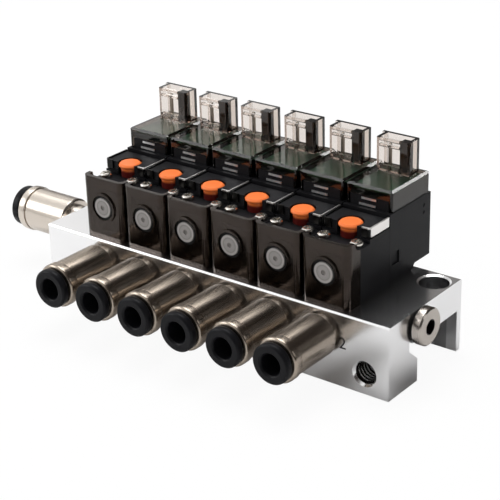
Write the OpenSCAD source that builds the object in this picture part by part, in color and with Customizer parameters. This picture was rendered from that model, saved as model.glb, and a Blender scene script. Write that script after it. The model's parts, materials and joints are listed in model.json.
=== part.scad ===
// Six-station bank of miniature three-port solenoid valves on a drilled aluminium manifold block.
// X runs along the block, Y from the tube side to the back, Z up.
// The origin is at mid length, under the middle of the wide foot, on the mounting plane.

/* [Manifold block] */
// Number of valve stations on the block
stations = 6; // [2:1:6]
// Distance between the centre lines of neighbouring valves
pitch = 10.5; // [10.4:0.1:13]
// Distance from the last valve's centre line to the end of the block
end_margin = 14.5; // [13.5:0.1:20]
// Depth of the block from its tube face to its back
block_depth = 24.4; // [24:0.1:28]
// Height of the block
block_height = 14.4; // [14.2:0.1:18]
// Depth of the wide foot under the tube face
foot_depth = 9.4; // [8.6:0.1:10.5]
// Height of the upright rear face of the wide foot
foot_height = 4.6; // [3.5:0.1:5.5]
// Thickness of the wall between the tube face and the rail slot, above the foot
slot_wall = 6.6; // [6.2:0.1:7.2]
// Height at which the sloping back of the foot ends
ramp_top = 7; // [6.2:0.1:7.4]
// Height of the ceiling of the rail slot
slot_ceiling = 8.3; // [7.8:0.1:8.4]
// Depth of the hook groove in the front corner of the slot
hook_groove = 1.1; // [0.6:0.1:1.3]
// Rise of the hook groove above the slot ceiling
hook_rise = 0.9; // [0.4:0.1:1]
// Thickness of the thin rear leg
rear_leg = 1.4; // [1.2:0.1:2]
// Width of the bright bevel along the edges of the top face
edge_bevel = 0.3; // [0.1:0.05:0.5]
// Radius of a mounting hole
mount_hole_r = 1.7; // [1.5:0.05:1.8]
// Radius of the counterbore over a mounting hole
mount_bore_r = 2.85; // [2.6:0.05:2.9]
// Depth of the counterbore over a mounting hole
mount_bore_depth = 3.4; // [3:0.1:4]
// Width of the bevel round the counterbore's rim
mount_sink = 0.3; // [0.1:0.05:0.4]
// Distance from the end of the block to a mounting hole
mount_inset = 3.5; // [3.4:0.1:4.5]
// Distance from the back of the block to a mounting hole
mount_from_back = 3.9; // [3.8:0.1:4.4]

/* [Galleries] */
// Depth of the supply gallery's axis below the top face
supply_drop = 3.2; // [3:0.1:3.3]
// Distance of the supply gallery's axis from the tube face
supply_y = 10; // [9.9:0.1:10.4]
// Radius of the supply gallery and of the other threaded ports, at the thread's crests
port_r = 2.1; // [1.9:0.05:2.15]
// Radius of the outlet ports in the tube face, at the thread's roots
outlet_port_r = 2.5; // [2.3:0.05:2.55]
// Depth of the outlet ports' axis below the top face
outlet_drop = 4.8; // [4.4:0.1:5.2]
// Height of the exhaust gallery's axis
exhaust_z = 4; // [3.6:0.1:4.4]
// Distance of the exhaust gallery's axis from the tube face
exhaust_y = 3.9; // [3.8:0.05:4]
// Radius of the exhaust gallery
exhaust_r = 1.3; // [1:0.05:1.5]
// Distance from the end of the block to the exhaust port in the tube face
exhaust_inset = 5.1; // [4.6:0.1:6]
// Radius of the drilled passages between galleries and valves
passage_r = 0.6; // [0.4:0.05:0.65]

/* [Push-in fittings] */
// Outer radius of an outlet tube
tube_r = 2; // [1.9:0.05:2.1]
// Radius of an outlet fitting's body
fitting_r = 4.15; // [4:0.05:4.3]
// Height of the rounded collar above the fitting's body
collar_step = 0.2; // [0.1:0.05:0.3]
// Length of an outlet fitting's body
fitting_len = 13.3; // [12.6:0.1:16]
// Outer radius of the supply tube
supply_tube_r = 3; // [2.9:0.05:3.05]
// Radius of the supply fitting's body
supply_fitting_r = 4.5; // [4.4:0.05:4.8]
// Length of the supply fitting's body
supply_fitting_len = 14.7; // [14.2:0.1:18]
// Length of the slim neck between the block and the supply fitting's body
supply_neck = 2; // [1:0.1:2.4]
// Thickness of the flange of an outlet's release ring
ring_flange = 1.4; // [1:0.1:2]
// Thickness of the flange of the supply's release ring
supply_ring_flange = 1.9; // [1.2:0.1:2.4]
// Travel of a release ring
ring_travel = 0.4; // [0.3:0.05:0.6]
// Length of a collar
collar_len = 1.9; // [1.4:0.1:2.4]
// Length of the threaded stub inside the block
stub_len = 4.4; // [3.6:0.1:4.6]
// Wall of a release ring's sleeve
sleeve_wall = 0.65; // [0.5:0.05:0.7]

/* [End plug] */
// Radius of the end plug's head
plug_r = 3.6; // [3.2:0.1:4]
// Thickness of the end plug's head
plug_head = 1.7; // [1.2:0.1:2.4]
// Thickness of the gasket under the plug's head
plug_gasket = 0.5; // [0.3:0.05:0.8]
// Width across the flats of the plug's hexagon socket
plug_hex = 2.5; // [2:0.1:3]

/* [Valve] */
// Width of a valve
valve_w = 10.2; // [9.9:0.05:10.3]
// Distance of the valve's front from the block's tube face
valve_front = 1.25; // [1:0.05:1.5]
// Depth of the translucent front cap
cap_depth = 3.9; // [3.8:0.05:4.1]
// Height of the front cap
cap_height = 12.4; // [12.2:0.1:13]
// Radius of the cap's upright front corners
cap_corner = 1.3; // [0.8:0.1:1.6]
// Wall round the open pocket in the cap's top
cap_wall = 0.85; // [0.7:0.05:0.85]
// Depth of the pocket in the cap's top
cap_pocket = 2.1; // [1.2:0.1:2.1]
// Height of the armature's axis above the block
axis_h = 6.45; // [6.3:0.05:6.6]
// Radius of the disc that closes the seat bore
seat_disc_r = 2; // [1.9:0.05:2.1]
// Width of the seal round the seat disc
seal_width = 0.55; // [0.4:0.05:0.6]
// Depth of the recess that holds the seal, behind the cap's front
seal_depth = 0.55; // [0.4:0.05:0.8]
// Width of the raised rim round the seal
boss_wall = 0.5; // [0.3:0.05:0.6]
// Rise of that rim in front of the cap
boss_rise = 0.35; // [0.2:0.05:0.5]
// Radius of the notch in each side wall of the cap, beside the screw
notch_r = 1.8; // [1.4:0.1:1.9]
// Length from the cap to the back of the coil housing
body_len = 23.25; // [23:0.05:26]
// Height of the coil housing
body_h = 13.8; // [13.5:0.1:15]
// Length from the cap to the end of the housing's sole
sole_len = 16.85; // [15:0.1:18]
// Height of the step under the overhanging end of the coil housing
overhang_rise = 1.25; // [0.8:0.05:1.4]
// Height of the shelf under the screw heads
shelf_h = 10.6; // [10.3:0.1:10.8]
// Depth of the shelf behind the cap
shelf_depth = 2.95; // [2.7:0.05:3.1]
// Height of the override block's top
deck_h = 13.3; // [12.8:0.1:13.4]
// Depth of the override block
deck_depth = 6.2; // [5.8:0.1:6.6]
// Thickness of the bright clip round the override block
clip_t = 0.3; // [0.25:0.05:0.5]
// Height of the bright clip
clip_h = 1.85; // [1.6:0.05:2.4]
// Thickness of the gasket between a valve and the block
gasket_t = 0.5; // [0.3:0.05:0.8]
// Distance of a valve screw from the valve's centre line
screw_x = 3.45; // [3.35:0.05:3.5]
// Radius of a valve screw's head
screw_head_r = 1.2; // [1.1:0.05:1.25]
// Radius of a valve screw's shank
screw_r = 0.85; // [0.6:0.05:0.9]

/* [Override button] */
// Radius of the button's head
button_r = 2.25; // [2.1:0.05:2.4]
// Radius of the button's neck
button_neck_r = 1.85; // [1.6:0.05:1.9]
// Thickness of the button's head
button_head = 0.8; // [0.6:0.05:1]
// Height of the button's top above the override block
button_proud = 0; // [-0.1:0.05:0.2]
// Distance of the button's axis behind the cap
button_back = 4.5; // [4.4:0.05:4.7]
// Travel of the button
button_travel = 1; // [0.6:0.05:1]

/* [Coil] */
// Radius of the armature
armature_r = 1.95; // [1.7:0.05:2]
// Length of the coil bobbin
bobbin_len = 11.4; // [11:0.1:11.5]
// Radius of the bobbin's flanges
bobbin_r = 4.2; // [4:0.05:4.3]
// Thickness of a bobbin flange
bobbin_flange = 0.6; // [0.4:0.05:0.8]
// Wall of the bobbin's tube
bobbin_wall = 0.45; // [0.3:0.05:0.6]
// Radius of the copper winding
winding_r = 3.95; // [3.4:0.05:4]
// Length of the armature
armature_len = 14; // [13.5:0.1:14.5]

/* [Cover and socket] */
// Width of the clear cover
cover_w = 9.85; // [9.4:0.05:9.9]
// Depth of the clear cover
cover_depth = 12.8; // [12.4:0.1:13]
// Height of the clear cover
cover_h = 4.15; // [4:0.05:5]
// Wall of the clear cover
cover_wall = 0.6; // [0.5:0.05:0.65]
// Width of the chamfer round the cover's top
cover_edge = 0.4; // [0.2:0.05:0.5]
// Distance of the cover's back from the housing's back
cover_inset = 0.2; // [0:0.05:0.3]
// Width of the connector socket
socket_w = 7.2; // [7.1:0.05:7.4]
// Sideways shift of the socket from the cover's centre line
socket_shift = -0.15; // [-0.2:0.05:0]
// Depth of the connector socket
socket_depth = 3.8; // [3.7:0.05:4.4]
// Height of the connector socket above the cover
socket_h = 6.35; // [5.8:0.05:8]
// Wall of the connector socket
socket_wall = 0.7; // [0.5:0.05:0.8]
// Distance of the socket's back from the cover's back
socket_inset = 1.1; // [0.8:0.05:1.4]
// Width of the window in the socket's front wall
window_w = 4.5; // [4.2:0.1:4.5]
// Sideways shift of the window from the cover's centre line
window_shift = -0.8; // [-0.85:0.05:-0.75]
// Depth of the thick pillar beside the window
pillar_depth = 1.7; // [1:0.1:1.7]
// Width of the key rib on the left of the socket's back
key_rib = 0.6; // [0.3:0.05:0.6]
// Height of the bar across the window, above the cover
latch_z = 4.7; // [4:0.1:5.1]
// Thickness of the bar across the window
latch_t = 0.45; // [0.3:0.05:0.6]
// Thickness of the circuit board
board_t = 1; // [0.8:0.05:1.2]
// Distance between the two contact pins of a socket
pin_gap = 2.5; // [2:0.05:2.54]
// Thickness of a contact pin
pin_t = 0.5; // [0.4:0.05:0.64]

/* [Hidden] */
$fn = 48;
through = 1;
slip = 0.05;
seat = 0.02;
outlet_nodes = ["cap_", "valve_body_", "cover_", "button_", "armature_", "fitting_", "release_ring_"];
shared_nodes = [
    "manifold_block", "supply_fitting", "supply_release_ring", "end_plug", "seal_rings", "valve_gaskets",
    "valve_screws", "seat_plugs", "override_clips", "coil_housings", "circuit_boards", "terminals",
    "bobbins", "coil_windings", "fixed_cores", "yokes", "return_springs"
];

block_len = (stations - 1) * pitch + 2 * end_margin;
supply_z = block_height - supply_drop;
outlet_z = block_height - outlet_drop;
mount_y = block_depth - mount_from_back;
rear_leg_y = block_depth - rear_leg;
exhaust_x = block_len / 2 - exhaust_inset;
exhaust_thread_len = 6;
thread_relief = 0.35;

// Planes of a valve, measured from the tube face and from the top of the block
joint_y = valve_front + cap_depth;
shelf_y = joint_y + shelf_depth;
deck_back_y = shelf_y + deck_depth;
body_step = 0.3;
seam_y = deck_back_y + body_step;
seam_gap = 0.06;
body_back_y = joint_y + body_len;
cover_back_y = body_back_y - cover_inset;
cover_front_y = cover_back_y - cover_depth;
socket_back_y = cover_back_y - socket_inset;
socket_front_y = socket_back_y - socket_depth;
button_y = joint_y + button_back;
screw_y = joint_y + 1.15;
half_w = valve_w / 2;

// Passages under a valve
outlet_passage_y = 5.9;
outlet_duct_r = passage_r + 0.15;
outlet_duct_end = outlet_passage_y + 0.3;
exhaust_passage_x = -3.4;
exhaust_passage_r = 0.75 * passage_r;

// Inner sizes of the fittings
neck_len = 0.9;
neck_waist = 1.2;
body_chamfer = 0.35;
collar_round = 0.5;
collar_groove = 0.25;
tube_slip = 0.05;
ring_slip = 0.1;
seal_len = 1.2;
seal_wall = 1;
tube_socket_len = 4;
through_share = 0.6;
ring_sleeve_end = 3.7;
ring_chamfer = 0.35;

// Inner sizes of the valve
gasket_front_y = valve_front + 1.1;
gasket_step_y = joint_y - 0.25;
gasket_back_y = 12.4;
gasket_wide = 4.15;
gasket_slim = 2.3;
chamber_depth = 1.65;
chamber_y = joint_y - chamber_depth;
chamber_r = 2.6;
poppet_gap = 0.15;
poppet_y = chamber_y + poppet_gap;
poppet_len = 0.7;
boss_front = valve_front - boss_rise;
seal_r = seat_disc_r + seal_width;
poppet_r = 1.4;
poppet_stem_r = 0.9;
armature_front_y = joint_y - 0.15;
armature_back_y = armature_front_y + armature_len;
armature_travel = button_travel / 2;
core_gap = armature_travel + 0.1;
yoke_t = 0.6;
bobbin_y = seam_y + yoke_t;
bobbin_back_y = bobbin_y + bobbin_len;
cavity_r = bobbin_r + seat;
stem_r = 0.9;
stem_tip_h = axis_h + armature_r + 0.1;
neck_drop = 3.4;
neck_bottom_h = deck_h - neck_drop;
cam_slope = 0.5;
cam_gap = 0.25;
groove_depth = 1.2;
groove_width = 1.6;
screw_head_h = 0.9;
screw_bite = 3.4;
yoke_half_w = 2.8;
yoke_rise = 2.3;
clip_rise = 0.25;
clip_bottom = deck_h + clip_rise - clip_h;
clip_leg_gap = 1.05;
clip_band = 1.2;
clip_shadow = 0.3;
board_support_h = 2;
cover_corner = 0.5;
board_inset = 0.25;
spring_r = 0.72;
spring_wire = 0.22;
spring_turns = 5;
spring_seat = 1;
armature_spring_hole = 2.6;
spring_hole_r = 1;

// Centre of a station along the block
function station_x(s) = (s - (stations + 1) / 2) * pitch;

// Points of a circular arc, from one angle to another
function arc(cx, cy, r, from, to, steps = 8) =
    [for (i = [0 : steps]) let (a = from + (to - from) * i / steps) [cx + r * cos(a), cy + r * sin(a)]];

// Shapes that repeat
module in_frame() {
    translate([0, -foot_depth / 2, 0])
        children();
}

module at_station(s) {
    in_frame()
        translate([station_x(s), 0, 0])
            children();
}

module on_block(s) {
    at_station(s)
        translate([0, 0, block_height])
            children();
}

module every_valve() {
    for (s = [1 : stations])
        on_block(s)
            children();
}

module box(x0, x1, y0, y1, z0, z1) {
    translate([x0, y0, z0])
        cube([x1 - x0, y1 - y0, z1 - z0]);
}

module bore_x(y, z, r, x0, x1) {
    translate([x0, y, z])
        rotate([0, 90, 0])
            cylinder(r = r, h = x1 - x0);
}

module bore_y(x, z, r, y0, y1) {
    translate([x, y0, z])
        rotate([-90, 0, 0])
            cylinder(r = r, h = y1 - y0);
}

module bore_z(x, y, r, z0, z1) {
    translate([x, y, z0])
        cylinder(r = r, h = z1 - z0);
}

module ring_y(z, r_in, r_out, y0, y1) {
    difference() {
        bore_y(0, z, r_out, y0, y1);
        bore_y(0, z, r_in, y0 - through, y1 + through);
    }
}

// Plan of a box with round upright corners at the front, and at the back if asked
module rounded_plan(x_half, y0, y1, r, back = true) {
    translate([-x_half + r, y0])
        square([2 * (x_half - r), y1 - y0]);
    translate([-x_half, y0 + r])
        square([2 * x_half, y1 - y0 - (back ? 2 * r : r)]);
    for (side = [-1, 1]) {
        translate([side * (x_half - r), y0 + r])
            circle(r = r);
        if (back)
            translate([side * (x_half - r), y1 - r])
                circle(r = r);
    }
}

module rounded_box(x_half, y0, y1, z0, z1, r, back = true) {
    translate([0, 0, z0])
        linear_extrude(z1 - z0)
            rounded_plan(x_half, y0, y1, r, back);
}

// Section of the block, seen from its right end
module block_section() {
    polygon([
        [0, 0],
        [foot_depth, 0],
        [foot_depth, foot_height],
        [slot_wall, ramp_top],
        [slot_wall, slot_ceiling + hook_rise],
        [slot_wall + hook_groove, slot_ceiling + hook_rise],
        [slot_wall + hook_groove, slot_ceiling],
        [rear_leg_y, slot_ceiling],
        [rear_leg_y, 0],
        [block_depth, 0],
        [block_depth, block_height - edge_bevel],
        [block_depth - edge_bevel, block_height],
        [edge_bevel, block_height],
        [0, block_height - edge_bevel]
    ]);
}

module countersink(r, depth) {
    translate([0, 0, -depth])
        cylinder(r1 = r, r2 = r + depth, h = depth);
    cylinder(r = r + depth, h = through);
}

module manifold_block() {
    color([0.86, 0.87, 0.88])
        in_frame()
            difference() {
                rotate([90, 0, 90])
                    linear_extrude(block_len, center = true)
                        block_section();
                bore_x(supply_y, supply_z, port_r, -block_len / 2 - through, block_len / 2 + through);
                for (side = [-1, 1])
                    translate([side * block_len / 2, supply_y, supply_z])
                        rotate([0, side * 90, 0])
                            countersink(port_r, thread_relief);
                bore_x(exhaust_y, exhaust_z, exhaust_r, -block_len / 2 - through, exhaust_x);
                bore_x(exhaust_y, exhaust_z, port_r, -block_len / 2 - through, exhaust_thread_len - block_len / 2);
                bore_y(exhaust_x, exhaust_z, port_r, -through, exhaust_thread_len);
                translate([exhaust_x, 0, exhaust_z])
                    rotate([90, 0, 0])
                        countersink(port_r, thread_relief + 0.1);
                for (side = [-1, 1])
                    translate([side * (block_len / 2 - mount_inset), mount_y, block_height]) {
                        bore_z(0, 0, mount_hole_r, -block_height, 0);
                        bore_z(0, 0, mount_bore_r, -mount_bore_depth, through);
                        countersink(mount_bore_r, mount_sink);
                    }
                for (s = [1 : stations])
                    translate([station_x(s), 0, 0])
                        station_drillings();
            }
}

module station_drillings() {
    bore_y(0, outlet_z, outlet_port_r, -through, stub_len + 0.2);
    bore_y(0, outlet_z, outlet_duct_r, 0, outlet_duct_end);
    translate([0, 0, outlet_z])
        rotate([90, 0, 0])
            countersink(outlet_port_r, thread_relief);
    bore_z(0, outlet_passage_y, passage_r, outlet_z, block_height + through);
    bore_z(0, supply_y, passage_r, supply_z, block_height + through);
    bore_z(exhaust_passage_x, exhaust_y, exhaust_passage_r, exhaust_z, block_height + through);
    for (side = [-1, 1])
        bore_z(side * screw_x, screw_y, screw_r + seat, block_height - screw_bite - 0.3, block_height + through);
}

// Turned body of a push-in fitting, with its axis along Z and the block's face at height 0
module fitting_body(tube, body, length, neck, port) {
    mouth = tube + tube_slip + sleeve_wall + ring_slip;
    seal_top = length - ring_sleeve_end - ring_travel - 0.1;
    seal_bottom = seal_top - seal_len;
    socket_bottom = seal_bottom - tube_socket_len;
    collar = body + collar_step;
    rotate_extrude()
        polygon(concat(
            [
                [tube * through_share, -stub_len],
                [port - seat - 0.2, -stub_len],
                [port - seat, -stub_len + 0.2],
                [port - seat, 0],
                [body - neck_waist, 0],
                [body - neck_waist, neck],
                [body - body_chamfer, neck],
                [body, neck + body_chamfer],
                [body, length - collar_len - collar_groove],
                [body - collar_groove, length - collar_len - collar_groove],
                [body - collar_groove, length - collar_len],
                [collar - 0.1, length - collar_len],
                [collar, length - collar_len + 0.1]
            ],
            arc(collar - collar_round, length - collar_round, collar_round, 0, 90),
            [
                [mouth, length],
                [mouth, seal_top],
                [tube + seal_wall, seal_top],
                [tube + seal_wall, seal_bottom],
                [tube + tube_slip, seal_bottom],
                [tube + tube_slip, socket_bottom],
                [tube * through_share, socket_bottom]
            ]
        ));
}

// Black release ring of a push-in fitting: a flange outside and a sleeve that reaches into the body
module release_ring(tube, body, length, flange) {
    inner = tube + tube_slip;
    outer = body - collar_step - 0.1;
    back = length + ring_travel + 0.05;
    front = back + flange;
    color([0.09, 0.09, 0.1])
        rotate_extrude()
            polygon(concat(
                [
                    [inner, length - ring_sleeve_end],
                    [inner + sleeve_wall, length - ring_sleeve_end],
                    [inner + sleeve_wall, back],
                    [outer - 0.1, back],
                    [outer, back + 0.1],
                    [outer, front - ring_chamfer]
                ],
                [
                    [outer - ring_chamfer, front],
                    [inner + ring_chamfer, front],
                    [inner, front - ring_chamfer]
                ]
            ));
}

module tube_seal(tube, length) {
    seal_top = length - ring_sleeve_end - ring_travel - 0.1;
    difference() {
        translate([0, 0, seal_top - seal_len])
            cylinder(r = tube + seal_wall, h = seal_len);
        translate([0, 0, seal_top - seal_len - through])
            cylinder(r = tube + tube_slip, h = seal_len + 2 * through);
    }
}

module outlet_axis(s) {
    at_station(s)
        translate([0, 0, outlet_z])
            rotate([90, 0, 0])
                children();
}

module supply_axis() {
    in_frame()
        translate([-block_len / 2, supply_y, supply_z])
            rotate([0, -90, 0])
                children();
}

module fitting(s) {
    color([0.8, 0.77, 0.73])
        outlet_axis(s)
            fitting_body(tube_r, fitting_r, fitting_len, neck_len, outlet_port_r);
}

module outlet_release_ring(s) {
    outlet_axis(s)
        release_ring(tube_r, fitting_r, fitting_len, ring_flange);
}

module supply_fitting() {
    color([0.8, 0.77, 0.73])
        supply_axis()
            fitting_body(supply_tube_r, supply_fitting_r, supply_fitting_len, supply_neck, port_r);
}

module supply_release_ring() {
    supply_axis()
        release_ring(supply_tube_r, supply_fitting_r, supply_fitting_len, supply_ring_flange);
}

// Black rubber rings: in each fitting, under the plug's head and round each seat disc
module seal_rings() {
    color([0.12, 0.12, 0.13]) {
        for (s = [1 : stations])
            outlet_axis(s)
                tube_seal(tube_r, fitting_len);
        supply_axis()
            tube_seal(supply_tube_r, supply_fitting_len);
        plug_axis()
            plug_ring();
        every_valve()
            ring_y(axis_h, seat_disc_r + seat, seal_r - seat, valve_front, valve_front + seal_depth);
    }
}

module plug_axis() {
    in_frame()
        translate([block_len / 2, supply_y, supply_z])
            rotate([0, 90, 0])
                children();
}

module end_plug() {
    rim = 0.3;
    socket_depth_x = 1.4;
    head_top = plug_gasket + plug_head;
    color([0.83, 0.8, 0.76])
        plug_axis()
            difference() {
                rotate_extrude()
                    polygon([
                        [0, -stub_len],
                        [port_r - seat, -stub_len],
                        [port_r - seat, plug_gasket],
                        [plug_r, plug_gasket],
                        [plug_r, head_top - rim],
                        [plug_r - rim, head_top],
                        [0, head_top]
                    ]);
                translate([0, 0, head_top - socket_depth_x])
                    cylinder(r = plug_hex / sqrt(3), h = socket_depth_x + through, $fn = 6);
            }
}

module plug_ring() {
    difference() {
        cylinder(r = plug_r - 0.35, h = plug_gasket);
        translate([0, 0, -through])
            cylinder(r = port_r + slip, h = plug_gasket + 2 * through);
    }
}

// Flat plan of the T-shaped gasket under a valve
module gasket_plan(grow) {
    translate([-gasket_wide - grow, gasket_front_y - grow])
        square([2 * (gasket_wide + grow), gasket_step_y - gasket_front_y + 2 * grow]);
    translate([-gasket_slim - grow, gasket_front_y])
        square([2 * (gasket_slim + grow), gasket_back_y - gasket_front_y + grow]);
}

module gasket_ports(z0, z1) {
    bore_z(0, outlet_passage_y, passage_r, z0, z1);
    bore_z(0, supply_y, passage_r, z0, z1);
    bore_z(exhaust_passage_x, exhaust_y, exhaust_passage_r, z0, z1);
}

module valve_gaskets() {
    color([0.12, 0.12, 0.13])
        every_valve()
            difference() {
                linear_extrude(gasket_t)
                    gasket_plan(0);
                gasket_ports(-through, gasket_t + through);
            }
}

module gasket_recess() {
    translate([0, 0, -through])
        linear_extrude(gasket_t + through)
            gasket_plan(slip);
}

// Translucent front cap: it holds the seat bore, and its open pocket clears the screw heads
module cap(s) {
    pocket_y = valve_front + cap_wall;
    pocket_bottom = cap_height - cap_pocket;
    pocket_half = half_w - cap_wall;
    color([0.3, 0.26, 0.24, 0.6])
        on_block(s)
            difference() {
                union() {
                    rounded_box(half_w, valve_front, joint_y, 0, cap_height, cap_corner, false);
                    bore_y(0, axis_h, seal_r + boss_wall, boss_front, valve_front + seal_depth);
                }
                rounded_box(pocket_half, pocket_y, joint_y + cap_corner, pocket_bottom, cap_height + through,
                    cap_corner - cap_wall + 0.2, false);
                bore_x(joint_y, cap_height, notch_r, -half_w - through, half_w + through);
                bore_y(0, axis_h, seal_r, boss_front - through, valve_front + seal_depth);
                bore_y(0, axis_h, seat_disc_r + seat, valve_front, chamber_y + through);
                bore_y(0, axis_h, chamber_r, chamber_y, joint_y + through);
                bore_z(exhaust_passage_x, exhaust_y, exhaust_passage_r, 0, axis_h - chamber_r / 2);
                bore_x(exhaust_y, axis_h - chamber_r / 2, passage_r, exhaust_passage_x - passage_r, 0);
                gasket_recess();
            }
}

// White plug with the dimpled disc in the cap's front and the small orifice behind it
module seat_plugs() {
    dimple_r = 0.5;
    dimple_depth = 0.25;
    disc_front = boss_front + 0.1;
    color([0.86, 0.85, 0.83])
        every_valve()
            difference() {
                union() {
                    bore_y(0, axis_h, seat_disc_r, disc_front, chamber_y - 0.2);
                    bore_y(0, axis_h, poppet_stem_r, chamber_y - 0.3, poppet_y);
                }
                bore_y(0, axis_h, dimple_r, disc_front - through, disc_front + dimple_depth);
                bore_y(0, axis_h, poppet_stem_r / 2, chamber_y - 1, poppet_y + through);
            }
}

// Black valve body: the screw shelf, and the override block with the button's well
module valve_body(s) {
    color([0.13, 0.13, 0.14])
        on_block(s)
            difference() {
                union() {
                    box(-half_w, half_w, joint_y, shelf_y + through, 0, shelf_h);
                    box(-half_w, half_w, shelf_y, seam_y - seam_gap, 0, deck_h);
                }
                clip_recess();
                gasket_recess();
                gasket_ports(0, 2);
                bore_y(0, axis_h, armature_r + slip, joint_y - through, seam_y + through);
                for (side = [-1, 1])
                    bore_z(side * screw_x, screw_y, screw_r + slip, -through, shelf_h + through);
                button_well();
            }
}

// Side view of the coil housing, with the step under its overhanging end
module housing_section() {
    polygon([
        [seam_y, 0],
        [joint_y + sole_len, 0],
        [joint_y + sole_len + overhang_rise, overhang_rise],
        [body_back_y, overhang_rise],
        [body_back_y, body_h],
        [seam_y, body_h]
    ]);
}

// Black coil housings, open at the front for the coil
module coil_housings() {
    color([0.13, 0.13, 0.14])
        every_valve()
            difference() {
                union() {
                    rotate([90, 0, 90])
                        linear_extrude(valve_w, center = true)
                            housing_section();
                    board_support();
                }
                bore_y(0, axis_h, cavity_r, seam_y - through, bobbin_back_y + seat);
                yoke_shape(seat);
                pin_marks();
            }
}

// Raised block under the circuit board
module board_support() {
    half = cover_w / 2 - cover_wall - board_inset;
    box(-half, half, cover_front_y + 0.15, cover_back_y - cover_wall - board_inset,
        body_h - 0.5, body_h + board_support_h);
}

// Bore for the button, open to the front where it cuts the override block
module button_well() {
    bore_z(0, button_y, button_r + 0.2, shelf_h, deck_h + through);
    bore_z(0, button_y, button_neck_r + slip, neck_bottom_h - button_travel - 0.1, shelf_h + through);
    bore_z(0, button_y, stem_r + slip, axis_h, neck_bottom_h);
}

// Moulding marks on the sides: two ejector dots near the back and one square recess
module pin_marks() {
    dot_r = 0.35;
    dot_depth = 0.12;
    dot_back = 2.4;
    dot_drops = [1.9, 3.3];
    mark_y = joint_y + 10.4;
    mark_w = 2.2;
    mark_top = axis_h - 0.45;
    mark_h = 2.4;
    mark_depth = 0.3;
    for (side = [-1, 1])
        translate([side * half_w, 0, 0]) {
            for (drop = dot_drops)
                bore_x(body_back_y - dot_back, body_h - drop, dot_r, -dot_depth, dot_depth);
            box(-mark_depth, mark_depth, mark_y, mark_y + mark_w, mark_top - mark_h, mark_top);
        }
}

// Bright sheet clip round the override block: two sides, short front legs and a low back band
module override_clips() {
    leg = button_r + clip_leg_gap;
    color([0.86, 0.84, 0.82])
        every_valve()
            difference() {
                translate([0, 0, clip_bottom])
                    linear_extrude(clip_h)
                        difference() {
                            rounded_plan(half_w, shelf_y, deck_back_y, 2 * clip_t, false);
                            rounded_plan(half_w - clip_t, shelf_y + clip_t, deck_back_y - clip_t, clip_t, false);
                            translate([-leg, shelf_y - through])
                                square([2 * leg, clip_t + through + slip]);
                        }
                box(-half_w + clip_t, half_w - clip_t, deck_back_y - clip_t - slip, deck_back_y + through,
                    clip_bottom + clip_band, clip_bottom + clip_h + through);
            }
}

// Room round the override block for the clip, with a shadow gap under it
module clip_recess() {
    edge = clip_t + seat;
    translate([0, 0, clip_bottom - clip_shadow])
        linear_extrude(clip_h + through)
            difference() {
                translate([-half_w - through, shelf_y - through])
                    square([2 * (half_w + through), seam_y - shelf_y + 2 * through]);
                rounded_plan(half_w - edge, shelf_y + edge, deck_back_y - edge, clip_t, false);
            }
}

// Orange override button: mushroom head, neck, and a stem with a cone that pushes the armature back
module button(s) {
    top = deck_h + button_proud;
    edge = 0.2;
    crown = 0.35;
    tip_flat = 0.1;
    cone_h = (stem_r - tip_flat) / cam_slope;
    color([0.95, 0.45, 0.18])
        on_block(s)
            translate([0, button_y, 0])
                rotate_extrude()
                    polygon([
                        [0, stem_tip_h],
                        [tip_flat, stem_tip_h],
                        [stem_r, stem_tip_h + cone_h],
                        [stem_r, neck_bottom_h],
                        [button_neck_r, neck_bottom_h],
                        [button_neck_r, top - button_head],
                        [button_r - edge, top - button_head],
                        [button_r, top - button_head + edge],
                        [button_r, top - crown],
                        [button_r - crown, top],
                        [0, top]
                    ]);
}

// Steel armature with the cam groove under the button, and the rubber poppet on its nose
module armature(s) {
    groove_back = button_y + cam_gap;
    groove_front = groove_back - groove_width;
    groove_bottom = armature_r - groove_depth;
    color([0.6, 0.6, 0.62])
        on_block(s)
            translate([0, 0, axis_h])
                rotate([-90, 0, 0]) {
                    rotate_extrude()
                        polygon([
                            [0, poppet_y + poppet_len],
                            [poppet_stem_r, poppet_y + poppet_len],
                            [poppet_stem_r, armature_front_y],
                            [armature_r, armature_front_y],
                            [armature_r, groove_front],
                            [groove_bottom, groove_front],
                            [groove_bottom, groove_back - cam_slope * groove_depth],
                            [armature_r, groove_back],
                            [armature_r, armature_back_y],
                            [spring_hole_r, armature_back_y],
                            [spring_hole_r, armature_back_y - armature_spring_hole],
                            [0, armature_back_y - armature_spring_hole]
                        ]);
                    translate([0, 0, poppet_y])
                        cylinder(r = poppet_r, h = poppet_len);
                }
}

module fixed_cores() {
    core_y = armature_back_y + core_gap;
    color([0.6, 0.6, 0.62])
        every_valve()
            difference() {
                bore_y(0, axis_h, armature_r + slip - seat / 2, core_y, bobbin_back_y + yoke_t);
                bore_y(0, axis_h, spring_hole_r, core_y - through, core_y + spring_seat);
            }
}

module bobbins() {
    inner = armature_r + slip;
    color([0.85, 0.84, 0.8])
        every_valve() {
            ring_y(axis_h, inner, inner + bobbin_wall, bobbin_y, bobbin_back_y);
            ring_y(axis_h, inner, bobbin_r, bobbin_y, bobbin_y + bobbin_flange);
            ring_y(axis_h, inner, bobbin_r, bobbin_back_y - bobbin_flange, bobbin_back_y);
        }
}

module coil_windings() {
    color([0.72, 0.42, 0.2])
        every_valve()
            ring_y(axis_h, armature_r + slip + bobbin_wall + seat, winding_r,
                bobbin_y + bobbin_flange + seat, bobbin_back_y - bobbin_flange - seat);
}

// Steel yoke: a plate at each end of the coil, joined by a strap under it
module yokes() {
    color([0.5, 0.5, 0.52])
        every_valve()
            difference() {
                yoke_shape(0);
                bore_y(0, axis_h, armature_r + slip, bobbin_y - 2, bobbin_back_y + 2);
                bore_y(0, axis_h, cavity_r, bobbin_y, bobbin_back_y);
            }
}

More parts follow.
